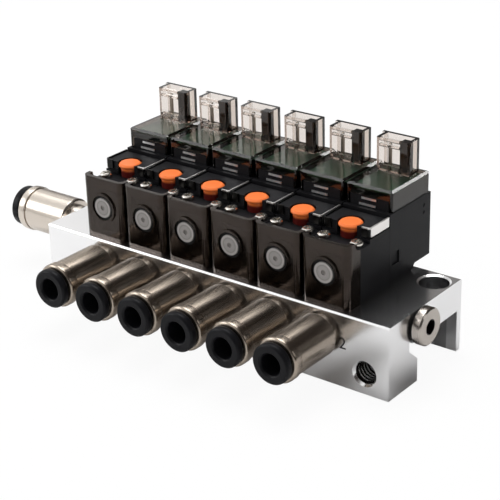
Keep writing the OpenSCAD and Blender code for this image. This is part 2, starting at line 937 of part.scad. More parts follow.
module yoke_shape(grow) {
    half = yoke_half_w + grow;
    low = axis_h - bobbin_r - yoke_t;
    top = axis_h + yoke_rise + grow;
    front = bobbin_y - yoke_t - grow;
    back = bobbin_back_y + yoke_t + grow;
    box(-half, half, bobbin_back_y, back, low - grow, top);
    box(-half, half, front, bobbin_y, low - grow, top);
    box(-half, half, front, back, low - grow, low + yoke_t);
}

// Compression spring between the armature and the fixed core
module return_springs() {
    spring_front = armature_back_y - armature_spring_hole;
    spring_len = armature_spring_hole + core_gap + spring_seat;
    color([0.7, 0.7, 0.72])
        every_valve()
            translate([0, spring_front, axis_h])
                rotate([-90, 0, 0])
                    wire_spring(spring_r, spring_wire / 2, spring_turns, spring_len - spring_wire);
}

// Wire swept along a helix, as one closed skin of rings of points
module wire_spring(r, wire, turns, h) {
    steps = turns * 10;
    sides = 6;
    ring = [for (k = [0 : sides - 1]) 360 * k / sides];
    points = [
        for (i = [0 : steps])
            let (a = 360 * turns * i / steps, z = wire + h * i / steps)
                for (b = ring)
                    let (rr = r + wire * cos(b))
                        [rr * cos(a), rr * sin(a), z + wire * sin(b)]
    ];
    side_faces = [
        for (i = [0 : steps - 1], k = [0 : sides - 1], half = [0, 1])
            let (a = i * sides + k, b = i * sides + (k + 1) % sides)
                half == 0 ? [a, a + sides, b + sides] : [a, b + sides, b]
    ];
    start_cap = [[for (k = [0 : sides - 1]) k]];
    end_cap = [[for (k = [sides - 1 : -1 : 0]) steps * sides + k]];
    polyhedron(points = points, faces = concat(side_faces, start_cap, end_cap));
}

module valve_screws() {
    recess_w = 0.35;
    recess_depth = 0.45;
    recess_half = 0.8;
    head_edge = 0.25;
    color([0.8, 0.78, 0.74])
        every_valve()
            for (side = [-1, 1])
                translate([side * screw_x, screw_y, shelf_h])
                    difference() {
                        rotate_extrude()
                            polygon([
                                [0, -shelf_h - screw_bite],
                                [screw_r - 0.2, -shelf_h - screw_bite],
                                [screw_r, -shelf_h - screw_bite + 0.2],
                                [screw_r, 0],
                                [screw_head_r, 0],
                                [screw_head_r, screw_head_h - head_edge],
                                [screw_head_r - head_edge, screw_head_h],
                                [0, screw_head_h]
                            ]);
                        for (turn = [0, 90])
                            rotate([0, 0, turn])
                                box(-recess_half, recess_half, -recess_w / 2, recess_w / 2,
                                    screw_head_h - recess_depth, screw_head_h + through);
                    }
}

// Clear cover with the connector socket moulded on top of its back half
module cover(s) {
    half = cover_w / 2;
    top = body_h + cover_h;
    socket_top = top + socket_h;
    left = socket_shift - socket_w / 2;
    color([0.75, 0.76, 0.74, 0.35])
        on_block(s)
            difference() {
                union() {
                    cover_shell(half, top);
                    translate([socket_shift, 0, 0])
                        rounded_box(socket_w / 2, socket_front_y, socket_back_y, top - 0.1, socket_top, cover_corner);
                    box(left - key_rib, left + cover_corner, socket_back_y - socket_wall, socket_back_y,
                        top - 0.1, socket_top);
                }
                cover_cavity(half, top);
                socket_cavity(left + socket_wall, left + socket_w - socket_wall, top, socket_top);
                for (side = [-1, 1])
                    bore_z(pin_x(side), socket_pin_y(), pin_t * 0.9, top - 2, top + 1);
            }
}

function socket_pin_y() = (socket_front_y + socket_back_y) / 2 - 0.6;

function pin_x(side) = socket_shift + side * pin_gap / 2;

// Box of the cover, with a chamfer along its four top edges
module cover_shell(half, top) {
    intersection() {
        rounded_box(half, cover_front_y, cover_back_y, body_h, top, cover_corner);
        translate([0, cover_back_y + through, 0])
            rotate([90, 0, 0])
                linear_extrude(cover_depth + 2 * through)
                    chamfered_profile(-half, half, top);
        rotate([90, 0, 90])
            linear_extrude(cover_w + 2 * through, center = true)
                chamfered_profile(cover_front_y, cover_back_y, top);
    }
}

module chamfered_profile(from, to, top) {
    polygon([
        [from, body_h - through],
        [to, body_h - through],
        [to, top - cover_edge],
        [to - cover_edge, top],
        [from + cover_edge, top],
        [from, top - cover_edge]
    ]);
}

module cover_cavity(half, top) {
    inner = half - cover_wall;
    box(-inner, inner, cover_front_y + cover_wall, cover_back_y - cover_wall, body_h - through, top - cover_wall);
    box(-inner, inner, cover_front_y - through, cover_front_y + cover_wall + through,
        body_h - through, body_h + board_support_h + 0.2);
}

// Room for the plug, beside the pillar, and the window with its bar
module socket_cavity(x0, x1, top, socket_top) {
    floor_z = top + 0.2;
    rim_h = 0.55;
    window_x0 = window_shift - window_w / 2;
    window_x1 = window_shift + window_w / 2;
    window_back = socket_front_y + socket_wall + through / 2;
    box(x0, x1, socket_front_y + pillar_depth, socket_back_y - socket_wall, floor_z, socket_top + through);
    box(x0, window_x1, socket_front_y + socket_wall, socket_front_y + pillar_depth + slip,
        floor_z, socket_top + through);
    box(window_x0, window_x1, socket_front_y - through, window_back, top + 1.2, top + latch_z);
    box(window_x0, window_x1, socket_front_y - through, window_back, top + latch_z + latch_t, socket_top - rim_h);
}

module circuit_boards() {
    half = cover_w / 2 - cover_wall - board_inset;
    board_z = body_h + board_support_h;
    color([0.1, 0.4, 0.25])
        every_valve()
            difference() {
                box(-half, half, cover_front_y + cover_wall + board_inset, cover_back_y - cover_wall - board_inset,
                    board_z, board_z + board_t);
                for (side = [-1, 1])
                    bore_z(pin_x(side), socket_pin_y(), pin_t * 0.8, board_z - through, board_z + board_t + through);
            }
}

// Two contact pins in each socket and the two pale strips across the front of the board's support
module terminals() {
    pin_top = body_h + cover_h + socket_h - 1.5;
    pin_bottom = body_h + board_support_h;
    ball_r = 0.35;
    strip_t = 0.15;
    strip_h = 0.4;
    color([0.78, 0.76, 0.72])
        every_valve() {
            for (side = [-1, 1])
                translate([pin_x(side), socket_pin_y(), 0]) {
                    box(-pin_t / 2, pin_t / 2, -pin_t / 2, pin_t / 2, pin_bottom, pin_top);
                    translate([0, 0, pin_top])
                        sphere(r = ball_r);
                }
            for (strip = [[-2.15, 1.4, 0.25], [-1.6, 1.5, 1.45]])
                box(strip[0], strip[1], cover_front_y + 0.15 - strip_t, cover_front_y + 0.15,
                    body_h + strip[2], body_h + strip[2] + strip_h);
        }
}

for (s = [1 : stations]) {
    cap(s);
    valve_body(s);
    cover(s);
    button(s);
    armature(s);
    fitting(s);
    outlet_release_ring(s);
}
manifold_block();
supply_fitting();
supply_release_ring();
end_plug();
seal_rings();
valve_gaskets();
valve_screws();
seat_plugs();
override_clips();
coil_housings();
circuit_boards();
terminals();
bobbins();
coil_windings();
fixed_cores();
yokes();
return_springs();
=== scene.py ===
# %% [markdown]
# A bank of six small solenoid valves on a drilled aluminium block.
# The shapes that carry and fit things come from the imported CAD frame, and stay as they are.
# This script gives them their finishes, and adds the small things that the frame leaves out:
# the threads in the open ports, a port number, and the studio round the object.
# Every size is in metres, in the frame's own axes: X along the block, Y to the back, Z up.

# %% Load the frame
import json
import math
import bpy
import numpy as np
from mathutils import Matrix, Vector


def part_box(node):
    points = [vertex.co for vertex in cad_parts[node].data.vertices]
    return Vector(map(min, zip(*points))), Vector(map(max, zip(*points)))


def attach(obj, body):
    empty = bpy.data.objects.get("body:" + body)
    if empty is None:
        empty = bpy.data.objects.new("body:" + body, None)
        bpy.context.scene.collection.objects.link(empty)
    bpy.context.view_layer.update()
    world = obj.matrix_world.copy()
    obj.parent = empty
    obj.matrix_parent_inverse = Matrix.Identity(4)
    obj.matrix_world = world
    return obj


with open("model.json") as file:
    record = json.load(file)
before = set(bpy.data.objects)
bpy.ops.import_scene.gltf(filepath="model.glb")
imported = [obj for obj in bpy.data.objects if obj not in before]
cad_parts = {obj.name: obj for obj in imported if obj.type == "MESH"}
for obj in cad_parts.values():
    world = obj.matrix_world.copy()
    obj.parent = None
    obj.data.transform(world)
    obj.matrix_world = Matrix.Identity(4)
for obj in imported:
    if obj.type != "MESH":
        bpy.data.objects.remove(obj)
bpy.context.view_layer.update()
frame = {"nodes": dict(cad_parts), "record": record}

MM = 0.001
nodes = frame["nodes"]
mounts = {m["name"]: m for m in frame["record"]["mounts"]}
stations = [int(n.rsplit("_", 1)[1]) for n in nodes if n.startswith("cap_")]
print("stations:", len(stations))

# %% [markdown]
# The camera is a plain long lens. Its place was worked out from the photograph: the block's edges,
# the row of equal valves and the circles of the fittings fix the distance, the two angles and a
# slight roll. A camera looks along its own -Z, so its axes are written as right, up and back.

# %% Camera
FILM = 36.0
IMAGE_SIZE = 500
FOCAL_PIXELS = 1507.2
CAMERA_AZIMUTH = math.radians(38.215)
CAMERA_HEIGHT = math.radians(24.279)
CAMERA_ROLL = math.radians(-1.648)
CAMERA_PLACE = Vector((164.34, -199.66, 133.62)) * MM


def camera_axes(azimuth, height, roll):
    """Right, up and back of a camera that looks at the object from that side, turned by its roll."""
    level_back = Vector((math.sin(azimuth), -math.cos(azimuth), 0))
    back = math.cos(height) * level_back + math.sin(height) * Vector((0, 0, 1))
    level_right = Vector((math.cos(azimuth), math.sin(azimuth), 0))
    level_up = back.cross(level_right)
    right = math.cos(roll) * level_right + math.sin(roll) * level_up
    up = math.cos(roll) * level_up - math.sin(roll) * level_right
    return right, up, back


lens = bpy.data.cameras.new("camera")
lens.sensor_width = FILM
lens.lens = FOCAL_PIXELS / IMAGE_SIZE * FILM
lens.clip_start = 0.01
camera = bpy.data.objects.new("camera", lens)
camera_turn = Matrix(camera_axes(CAMERA_AZIMUTH, CAMERA_HEIGHT, CAMERA_ROLL)).transposed().to_4x4()
camera.matrix_world = Matrix.Translation(CAMERA_PLACE) @ camera_turn
bpy.context.scene.collection.objects.link(camera)
bpy.context.scene.camera = camera
bpy.context.scene.view_settings.view_transform = "Standard"
print("lens in mm:", round(lens.lens, 2))

# %% [markdown]
# Bright metal shows its surroundings, so the studio matters as much as the metal. The world is
# white to the camera, and to rays that came straight through clear plastic. A ray that was
# mirrored on its way sees a tent that is open on the left: the brightness falls with the angle
# from one direction, the dot product of the two directions, and that gives the plated fittings
# their cream light side and brown dark side. Everything else gets an even, weaker white.

# %% World
WORLD_STRENGTH = 0.55
BRIGHT_SIDE = (-0.8, -0.3, 0.52)
WHITE = (1, 1, 1, 1)


def add_node(tree, kind, values=(), **settings):
    """Adds a node to a tree, sets its properties, and sets the sockets that are named in values."""
    node = tree.nodes.new(kind)
    for key, value in settings.items():
        setattr(node, key, value)
    for key, value in dict(values).items():
        node.inputs[key].default_value = value
    return node


def math_node(tree, operation, *terms):
    """A Math node's output. Each term is a number or a socket."""
    node = add_node(tree, "ShaderNodeMath", operation=operation)
    for place, term in enumerate(terms):
        if isinstance(term, (int, float)):
            node.inputs[place].default_value = term
        else:
            tree.links.new(term, node.inputs[place])
    return node.outputs[0]


def mix_shaders(tree, share, first, second):
    """The first shader where share is 0, and the second where it is 1."""
    mix = add_node(tree, "ShaderNodeMixShader")
    for place, socket in enumerate((share, first, second)):
        tree.links.new(socket, mix.inputs[place])
    return mix.outputs[0]


def ramp(tree, source, stops):
    """A colour ramp with the given (place, colour) stops, fed by the source socket."""
    node = add_node(tree, "ShaderNodeValToRGB")
    elements = node.color_ramp.elements
    while len(elements) < len(stops):
        elements.new(0.5)
    for element, (place, color) in zip(elements, stops):
        element.position = place
        element.color = (*color, 1)
    tree.links.new(source, node.inputs["Fac"])
    return node.outputs["Color"]


world = bpy.data.worlds.new("studio")
bpy.context.scene.world = world
world.use_nodes = True
sky = world.node_tree
sky.nodes.clear()
sky_direction = add_node(sky, "ShaderNodeTexCoord")
sky_side = add_node(sky, "ShaderNodeVectorMath", {1: BRIGHT_SIDE}, operation="DOT_PRODUCT")
sky.links.new(sky_direction.outputs["Generated"], sky_side.inputs[0])
sky_share = math_node(sky, "MULTIPLY_ADD", sky_side.outputs["Value"], 0.5, 0.5)
tent = ramp(sky, sky_share, [
    (0.0, (0.03, 0.025, 0.022)),
    (0.42, (0.04, 0.034, 0.03)),
    (0.58, (0.09, 0.08, 0.075)),
    (0.72, (0.24, 0.23, 0.22)),
    (0.85, (0.8, 0.79, 0.78)),
    (1.0, (1.05, 1.05, 1.05)),
])
lit = add_node(sky, "ShaderNodeBackground", {"Color": WHITE, "Strength": WORLD_STRENGTH})
mirrored = add_node(sky, "ShaderNodeBackground", {"Strength": 1.0})
sky.links.new(tent, mirrored.inputs["Color"])
seen = add_node(sky, "ShaderNodeBackground", {"Color": WHITE, "Strength": 1.0})
paths = add_node(sky, "ShaderNodeLightPath")
was_mirrored = math_node(sky, "MINIMUM", paths.outputs["Glossy Depth"], 1.0)
straight = math_node(sky, "MAXIMUM", paths.outputs["Is Camera Ray"], paths.outputs["Is Transmission Ray"])
never_mirrored = math_node(sky, "SUBTRACT", 1.0, was_mirrored)
surroundings = mix_shaders(sky, was_mirrored, lit.outputs[0], mirrored.outputs[0])
seen_share = math_node(sky, "MULTIPLY", straight, never_mirrored)
background = mix_shaders(sky, seen_share, surroundings, seen.outputs[0])
sky_out = add_node(sky, "ShaderNodeOutputWorld")
sky.links.new(background, sky_out.inputs[0])
print("world nodes:", len(sky.nodes))

# %% [markdown]
# The floor is a plain white sheet. A lit sheet is never quite as white as the photograph's
# background, so for rays from the camera, also through clear plastic, its colour is raised by
# mixing in white light, while a share of real diffuse white stays, and with it the soft shadow.

# %% Floor
FLOOR_HALF = 3.0
FLOOR_DROP = 0.02 * MM
FLOOR_GLOW = 0.93
FLOOR_GREY = 0.85


def mesh_piece(name, points, faces, material=None):
    """A mesh object from an array of points and a list or array of faces."""
    mesh = bpy.data.meshes.new(name)
    mesh.from_pydata(np.asarray(points).tolist(), [], [tuple(int(i) for i in f) for f in faces])
    mesh.update()
    piece = bpy.data.objects.new(name, mesh)
    bpy.context.scene.collection.objects.link(piece)
    if material:
        mesh.materials.append(material)
    return piece


def new_material(name):
    """An empty material: its tree, and a Principled shader joined to the output."""
    material = bpy.data.materials.new(name)
    material.use_nodes = True
    tree = material.node_tree
    tree.nodes.clear()
    skin = add_node(tree, "ShaderNodeBsdfPrincipled")
    out = add_node(tree, "ShaderNodeOutputMaterial")
    tree.links.new(skin.outputs[0], out.inputs["Surface"])
    return material, tree, skin, out


floor_white, floor_tree, floor_skin, floor_out = new_material("floor_white")
floor_skin.inputs["Base Color"].default_value = (FLOOR_GREY, FLOOR_GREY, FLOOR_GREY, 1)
floor_skin.inputs["Roughness"].default_value = 0.9
floor_skin.inputs["Specular IOR Level"].default_value = 0.1
floor_glow = add_node(floor_tree, "ShaderNodeEmission", {"Color": WHITE, "Strength": 1.0})
ray = add_node(floor_tree, "ShaderNodeLightPath").outputs
floor_straight = math_node(floor_tree, "MAXIMUM", ray["Is Camera Ray"], ray["Is Transmission Ray"])
floor_share = math_node(floor_tree, "MULTIPLY", floor_straight, FLOOR_GLOW)
floor_mix = mix_shaders(floor_tree, floor_share, floor_skin.outputs[0], floor_glow.outputs[0])
floor_tree.links.new(floor_mix, floor_out.inputs["Surface"])
corners = np.array([[-1, -1, 0], [1, -1, 0], [1, 1, 0], [-1, 1, 0]]) * FLOOR_HALF
corners[:, 2] = -FLOOR_DROP
mesh_piece("floor", corners, [(0, 1, 2, 3)], floor_white)
print("floor side in m:", 2 * FLOOR_HALF)

# %% [markdown]
# Four soft lamps: a large one overhead and a little behind, which draws the bright rims on the
# caps and covers, a wide weak one at the left front, a faint one at the right for the end of
# the block, and a card at the back left that whitens the near end of the block's top.
# All are squares, so their reflections have clean straight edges.

# %% Lamps
def soft_lamp(name, place, size, watts, target=(0, 0, 0.015)):
    """A square lamp of that size in metres, at place, that faces the target point."""
    lamp = bpy.data.lights.new(name, "AREA")
    lamp.shape = "SQUARE"
    lamp.size = size
    lamp.energy = watts
    holder = bpy.data.objects.new(name, lamp)
    holder.location = place
    holder.rotation_euler = (Vector(place) - Vector(target)).to_track_quat("Z", "Y").to_euler()
    bpy.context.scene.collection.objects.link(holder)
    return holder


soft_lamp("overhead", (-0.1, 0.12, 0.55), 0.35, 2.2)
soft_lamp("left_front", (-0.5, -0.35, 0.3), 0.3, 1.1)
soft_lamp("right_side", (0.6, 0.1, 0.3), 0.25, 0.3)
soft_lamp("back_left_card", (-0.4, 0.4, 0.25), 0.2, 0.06, (-0.04, 0, 0.015))
print("soft lamps:", len(bpy.data.lights))

# %% [markdown]
# The pale lines along the edges of the clear covers are reflections of small bright lights.
# Such lights would spoil the dark side of the plated metal, so light linking lets two lamps reach
# one collection of pieces alone, and only in reflections. The covers join the
# collection when they get their finish.

# %% Edge lamps
EDGE_LAMP_SIZE = 0.28
EDGE_LAMPS = {
    "glint_right": ((0.29, 0.5, 0.4), 2.2),
    "glint_front": ((-0.4, -0.29, 0.5), 0.5),
}
edge_lit = bpy.data.collections.new("glint_pieces")
for name, (place, watts) in EDGE_LAMPS.items():
    glint = soft_lamp(name, place, EDGE_LAMP_SIZE, watts)
    glint.visible_diffuse = False
    glint.visible_transmission = False
    glint.light_linking.receiver_collection = edge_lit
print("edge lamps:", len(EDGE_LAMPS))

# %% [markdown]
# Three effects come back in many finishes, so each is a shader node group: fine lines from
# drawing or turning, the fine pitted skin of a moulding, and slow mottling that keeps
# a surface from being one even tone. Each puts out a value or a normal, never a shader.

# %% Shared effects
def new_group(name, inputs, outputs):
    """A shader node group with the named sockets, given as (name, type, value) and (name, type)."""
    tree = bpy.data.node_groups.new(name, "ShaderNodeTree")
    for title, kind, value in inputs:
        socket = tree.interface.new_socket(title, in_out="INPUT", socket_type="NodeSocket" + kind)
        if value is not None:
            socket.default_value = value
    for title, kind in outputs:
        tree.interface.new_socket(title, in_out="OUTPUT", socket_type="NodeSocket" + kind)
    return tree, add_node(tree, "NodeGroupInput"), add_node(tree, "NodeGroupOutput")


def lines_group():
    """Fine parallel lines: noise that is stretched by a scale of its own for each axis."""
    tree, given, out = new_group("fine_lines", [
        ("Place", "Vector", None),
        ("Stretch", "Vector", (1000.0, 1000.0, 1000.0)),
        ("Depth", "Float", 0.1),
    ], [("Mask", "Float"), ("Normal", "Vector")])
    stretched = add_node(tree, "ShaderNodeVectorMath", operation="MULTIPLY")
    tree.links.new(given.outputs["Place"], stretched.inputs[0])
    tree.links.new(given.outputs["Stretch"], stretched.inputs[1])
    noise = add_node(tree, "ShaderNodeTexNoise", {"Scale": 1.0, "Detail": 3.0, "Roughness": 0.6})
    tree.links.new(stretched.outputs[0], noise.inputs["Vector"])
    bump = add_node(tree, "ShaderNodeBump", {"Distance": 0.02 * MM})
    tree.links.new(noise.outputs["Fac"], bump.inputs["Height"])
    tree.links.new(given.outputs["Depth"], bump.inputs["Strength"])
    tree.links.new(noise.outputs["Fac"], out.inputs["Mask"])
    tree.links.new(bump.outputs[0], out.inputs["Normal"])
    return tree


def pitted_group():
    """The skin of a moulding: fine noise, as height and as a mask."""
    tree, given, out = new_group("moulded_skin", [
        ("Place", "Vector", None),
        ("Grain", "Float", 5000.0),
        ("Depth", "Float", 0.15),
    ], [("Mask", "Float"), ("Normal", "Vector")])
    noise = add_node(tree, "ShaderNodeTexNoise", {"Detail": 2.0, "Roughness": 0.7})
    tree.links.new(given.outputs["Place"], noise.inputs["Vector"])
    tree.links.new(given.outputs["Grain"], noise.inputs["Scale"])
    bump = add_node(tree, "ShaderNodeBump", {"Distance": 0.05 * MM})
    tree.links.new(noise.outputs["Fac"], bump.inputs["Height"])
    tree.links.new(given.outputs["Depth"], bump.inputs["Strength"])
    tree.links.new(noise.outputs["Fac"], out.inputs["Mask"])
    tree.links.new(bump.outputs[0], out.inputs["Normal"])
    return tree


def mottle_group():
    """Slow variation: one colour turns into the other where a large soft noise is high."""
    tree, given, out = new_group("mottle", [
        ("Place", "Vector", None),
        ("Size", "Float", 150.0),
        ("Low", "Color", (0.5, 0.5, 0.5, 1)),
        ("High", "Color", (0.6, 0.6, 0.6, 1)),
    ], [("Color", "Color"), ("Mask", "Float")])
    noise = add_node(tree, "ShaderNodeTexNoise", {"Detail": 4.0, "Roughness": 0.55})
    tree.links.new(given.outputs["Place"], noise.inputs["Vector"])
    tree.links.new(given.outputs["Size"], noise.inputs["Scale"])
    mix = add_node(tree, "ShaderNodeMix", data_type="RGBA")
    tree.links.new(noise.outputs["Fac"], mix.inputs["Factor"])
    tree.links.new(given.outputs["Low"], mix.inputs["A"])
    tree.links.new(given.outputs["High"], mix.inputs["B"])
    tree.links.new(mix.outputs["Result"], out.inputs["Color"])
    tree.links.new(noise.outputs["Fac"], out.inputs["Mask"])
    return tree


LINES = lines_group()
PITTED = pitted_group()
MOTTLE = mottle_group()
print("shared effects:", [effect.name for effect in (LINES, PITTED, MOTTLE)])

# %% [markdown]
# A finish often changes over one piece: a socket is dark, a rim is bright. The pieces stand
# unturned at the origin, so Object coordinates are places in the frame, and a few Math
# nodes turn them into masks of 0 and 1. Such a mask keeps its place whichever way one looks.

# %% Effects and masks in a material
def use_group(tree, group, values):
    """Places a group in a material, reading Object coordinates, with its own values."""
    node = add_node(tree, "ShaderNodeGroup", node_tree=group)
    for key, value in values.items():
        node.inputs[key].default_value = value
    place = add_node(tree, "ShaderNodeTexCoord")
    tree.links.new(place.outputs["Object"], node.inputs["Place"])
    return node


def span(tree, source, low, high):
    """Turns a mask from 0 to 1 into values from low to high."""
    node = add_node(tree, "ShaderNodeMapRange", {"To Min": low, "To Max": high})
    tree.links.new(source, node.inputs["Value"])
    return node.outputs["Result"]


def axes_of(tree):
    """X, Y and Z of a point in the frame, since the pieces stand unturned at the origin."""
    place = add_node(tree, "ShaderNodeTexCoord")
    split = add_node(tree, "ShaderNodeSeparateXYZ")
    tree.links.new(place.outputs["Object"], split.inputs[0])
    return split.outputs["X"], split.outputs["Y"], split.outputs["Z"]


def between(tree, source, low, high):
    """1 where the source is over low and under high, and 0 elsewhere."""
    over = math_node(tree, "GREATER_THAN", source, low)
    under = math_node(tree, "LESS_THAN", source, high)
    return math_node(tree, "MULTIPLY", over, under)


def all_of(tree, *masks):
    """The product of masks: 1 only where each of them is 1."""
    total = masks[0]
    for mask in masks[1:]:
        total = math_node(tree, "MULTIPLY", total, mask)
    return total


def length_of(tree, first, second):
    """The length of a flat vector: sqrt(first^2 + second^2)."""
    squares = [math_node(tree, "MULTIPLY", part, part) for part in (first, second)]
    return math_node(tree, "SQRT", math_node(tree, "ADD", *squares))


print("mask helpers: between, all_of, length_of")

# %% [markdown]
# The six valves are equal, so a mask for one of them serves all: X is wrapped by the pitch, and
# then runs from minus half the pitch to plus half of it in every valve. The pitch
# and the first valve's middle come from the boxes of two caps.

# %% Place across a valve
CAP_LOW, CAP_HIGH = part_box("cap_1")
FIRST_MIDDLE = (CAP_LOW[0] + CAP_HIGH[0]) / 2
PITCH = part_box("cap_2")[0][0] - CAP_LOW[0]


def across_valve(tree, x):
    """Distance from the nearest valve's middle: pitch * (fraction((x - first) / pitch + 1/2) - 1/2)."""
    turns = math_node(tree, "MULTIPLY_ADD", x, 1 / PITCH, 0.5 - FIRST_MIDDLE / PITCH)
    part = math_node(tree, "SUBTRACT", math_node(tree, "FRACT", turns), 0.5)
    return math_node(tree, "MULTIPLY", part, PITCH)


print("pitch in mm:", round(PITCH / MM, 3))

# %% [markdown]
# Bright metals. A drawn or turned surface keeps its tool's lines, so roughness follows
# stretched noise: along X for the extrusion, and round the axis for turned pieces, where the
# pattern changes only along the axis. A little mottling in the colour stops it looking painted.

# %% Metal finishes
TURNED_BLUR = 0.85
QUARTER_TURN = 0.25
ALONG_X = (60.0, 9000.0, 9000.0)
ROUND_X = (9000.0, 0.0, 0.0)
ROUND_Y = (0.0, 9000.0, 0.0)
ROUND_Z = (0.0, 0.0, 9000.0)
EVERY_WAY = (2500.0, 2500.0, 2500.0)
METAL_PATCHES = 150.0


def metal_skin(name, stretch, rough, depth, turned=None):
    """Polished metal that still needs a colour, with fine lines stretched along an axis. A piece
    turned round an axis blurs its reflections along that axis, across the tool's circles."""
    material, tree, skin, _ = new_material(name)
    skin.inputs["Metallic"].default_value = 1.0
    if turned:
        skin.inputs["Anisotropic"].default_value = TURNED_BLUR
        skin.inputs["Anisotropic Rotation"].default_value = QUARTER_TURN
        circles = add_node(tree, "ShaderNodeTangent", direction_type="RADIAL", axis=turned)
        tree.links.new(circles.outputs[0], skin.inputs["Tangent"])
    lines = use_group(tree, LINES, {"Stretch": stretch, "Depth": depth})
    tree.links.new(span(tree, lines.outputs["Mask"], *rough), skin.inputs["Roughness"])
    tree.links.new(lines.outputs["Normal"], skin.inputs["Normal"])
    return material, tree, skin


def mottled(tree, low, high, size):
    """A colour that drifts between two close ones over patches of about 1 / size metres."""
    return use_group(tree, MOTTLE, {"Size": size, "Low": (*low, 1), "High": (*high, 1)}).outputs["Color"]


def bright_metal(name, low, high, stretch, rough, depth, turned=None):
    """Polished metal that is mottled between two close colours."""
    material, tree, skin = metal_skin(name, stretch, rough, depth, turned)
    tree.links.new(mottled(tree, low, high, METAL_PATCHES), skin.inputs["Base Color"])
    return material


# The fittings along Y are the same plating as the supply fitting along X. Their darker, browner base colour
# is painted shade for the dark studio that they mirror.
shaded_plated_y = bright_metal(
    "plated_turned_y_shaded", (0.34, 0.29, 0.24), (0.43, 0.37, 0.31), ROUND_Y, (0.22, 0.3), 0.02, turned="Y",
)
plated_x = bright_metal(
    "plated_turned_x", (0.64, 0.57, 0.5), (0.72, 0.66, 0.59), ROUND_X, (0.22, 0.3), 0.02, turned="X",
)
screw_metal = bright_metal("screw_metal", (0.7, 0.66, 0.6), (0.86, 0.83, 0.78), ROUND_Z, (0.15, 0.3), 0.08)
steel = bright_metal("core_steel", (0.5, 0.5, 0.5), (0.6, 0.6, 0.6), ROUND_Y, (0.2, 0.35), 0.08)
copper = bright_metal("copper_wire", (0.72, 0.34, 0.16), (0.85, 0.45, 0.24), ROUND_Y, (0.25, 0.4), 0.3)
print("metals:", len(bpy.data.materials) - 1)

# %% [markdown]
# The block is drawn aluminium. Each counterbore in its top has a narrow bevel, which is too small
# for the studio's lamps to find, so its normal leans a little from straight up towards the
# hole and mirrors them. Inside the counterbore the base colour is darker than outside: painted shade.
# One mask serves both holes: X is folded at the block's middle.

# %% Block finish
BORE_RADIUS = 2.86 * MM
RIM_INSIDE = 2.84 * MM
RIM_OUTSIDE = 3.2 * MM
RIM_DEPTH = 0.32 * MM
BORE_DEPTH = 0.2 * MM
RIM_LEAN = 0.3
# Painted shade: the base colour inside the counterbores is multiplied by this grey.
BORE_PAINTED_SHADE = (0.55, 0.55, 0.55, 1)
BLOCK_PATCHES = 60.0


def block_finish():
    """Drawn aluminium, with bright bevels, and painted shade on the walls of the two counterbores."""
    material, tree, skin = metal_skin("extruded_aluminium", ALONG_X, (0.15, 0.27), 0.05)
    holes = mounts["mounting_holes"]
    half_spacing = holes["dims"]["spacing_x_mm"] / 2 * MM
    middle_x, middle_y, _ = holes["pos_m"]
    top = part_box("manifold_block")[1][2]
    x, y, z = axes_of(tree)
    from_middle = math_node(tree, "SUBTRACT", x, middle_x)
    folded = math_node(tree, "SUBTRACT", math_node(tree, "ABSOLUTE", from_middle), half_spacing)
    side = math_node(tree, "MULTIPLY", folded, math_node(tree, "SIGN", from_middle))
    away = math_node(tree, "SUBTRACT", y, middle_y)
    distance = length_of(tree, side, away)

    on_bevel = between(tree, distance, RIM_INSIDE, RIM_OUTSIDE)
    rim = all_of(tree, on_bevel, math_node(tree, "GREATER_THAN", z, top - RIM_DEPTH))
    leaning = add_node(tree, "ShaderNodeCombineXYZ", {"Z": 1.0})
    for part, axis in ((side, "X"), (away, "Y")):
        inwards = math_node(tree, "MULTIPLY", math_node(tree, "DIVIDE", part, distance), -RIM_LEAN)
        tree.links.new(inwards, leaning.inputs[axis])
    unit = add_node(tree, "ShaderNodeVectorMath", operation="NORMALIZE")
    tree.links.new(leaning.outputs[0], unit.inputs[0])
    normal = add_node(tree, "ShaderNodeMix", data_type="VECTOR")
    tree.links.new(rim, normal.inputs["Factor"])
    tree.links.new(skin.inputs["Normal"].links[0].from_socket, normal.inputs["A"])
    tree.links.new(unit.outputs[0], normal.inputs["B"])
    tree.links.new(normal.outputs["Result"], skin.inputs["Normal"])

    # Painted shade: the base colour is darkened inside each counterbore, below its rim.
    within = math_node(tree, "LESS_THAN", distance, BORE_RADIUS)
    inside = all_of(tree, within, math_node(tree, "LESS_THAN", z, top - BORE_DEPTH))
    shade = add_node(tree, "ShaderNodeMix", {"B": BORE_PAINTED_SHADE}, data_type="RGBA", blend_type="MULTIPLY")
    tree.links.new(inside, shade.inputs["Factor"])
    tree.links.new(mottled(tree, (0.86, 0.865, 0.88), (0.95, 0.95, 0.955), BLOCK_PATCHES), shade.inputs["A"])
    tree.links.new(shade.outputs["Result"], skin.inputs["Base Color"])
    return material


extruded = block_finish()
print("block finish nodes:", len(extruded.node_tree.nodes))

# %% [markdown]
# Two metal pieces have parts that the light hardly reaches, and their base colour holds painted shade there.
# The plug's hexagon socket is painted dark within a radius of the plug's axis. A thread shows bright crests
# between grooves painted dark: its mesh carries a value of its own, "crest", which is 1 on a crest and 0 in
# a groove.

# %% Plug and thread finishes
SOCKET_SHADE_RADIUS = 1.5 * MM


def plug_finish():
    """Plated metal, with painted shade, nearly black, within SOCKET_SHADE_RADIUS of the plug's axis, which
    lies along X.
    """
    material, tree, skin = metal_skin("plug_metal", ROUND_X, (0.22, 0.3), 0.02, "X")
    low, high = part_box("end_plug")
    _, y, z = axes_of(tree)
    from_axis = [math_node(tree, "SUBTRACT", c, (a + b) / 2) for c, a, b in zip((y, z), low[1:], high[1:])]
    # Painted shade: the hexagon socket is nearly black in the base colour.
    inside = math_node(tree, "LESS_THAN", length_of(tree, *from_axis), SOCKET_SHADE_RADIUS)
    color = ramp(tree, inside, [(0.0, (0.5, 0.46, 0.42)), (1.0, (0.03, 0.028, 0.025))])
    tree.links.new(color, skin.inputs["Base Color"])
    return material


